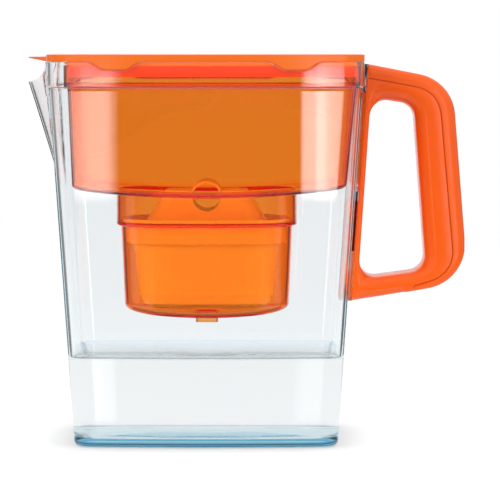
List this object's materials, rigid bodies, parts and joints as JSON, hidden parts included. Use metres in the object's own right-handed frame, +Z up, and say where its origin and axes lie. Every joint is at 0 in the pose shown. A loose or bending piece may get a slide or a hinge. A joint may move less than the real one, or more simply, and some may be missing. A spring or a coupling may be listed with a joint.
{
  "type": "water filter pitcher",
  "caption": "Clear water filter pitcher with V spout, orange lift-off lid and handle, and a translucent lift-out funnel holding a white filter cartridge with a pull ring.",
  "frame": {"origin": "centre of the jug's flat foot, on the table", "axes": "+Z up, +X from the spout towards the handle, +Y across the pitcher"},
  "size_m": [0.2893, 0.1254, 0.255],
  "materials": {
    "clear_plastic": "gloss",
    "orange_plastic": "gloss",
    "orange_clear": "gloss",
    "white_plastic": "satin",
    "screen_fabric": "matte",
    "sorbent_granules": "matte"
  },
  "bodies": {
    "jug": {"jug": "clear_plastic", "handle_frame": "orange_plastic", "handle_spine": "orange_plastic"},
    "funnel": {"funnel": "orange_clear"},
    "lid": {"lid": "orange_plastic"},
    "cartridge": {"cartridge_cup": "white_plastic", "cartridge_cap": "white_plastic", "inlet_screen": "screen_fabric", "outlet_screen": "screen_fabric", "sorbent_bed": "sorbent_granules"}
  },
  "joints": [
    {"name": "funnel_lift", "type": "slide", "parent": "jug", "child": "funnel", "axis": [0, 0, 1], "range_m": [0, 0.22]},
    {"name": "lid_lift", "type": "slide", "parent": "funnel", "child": "lid", "axis": [0, 0, 1], "range_m": [0, 0.12]},
    {"name": "cartridge_lift", "type": "slide", "parent": "funnel", "child": "cartridge", "axis": [0, 0, 1], "range_m": [0, 0.065]}
  ]
}
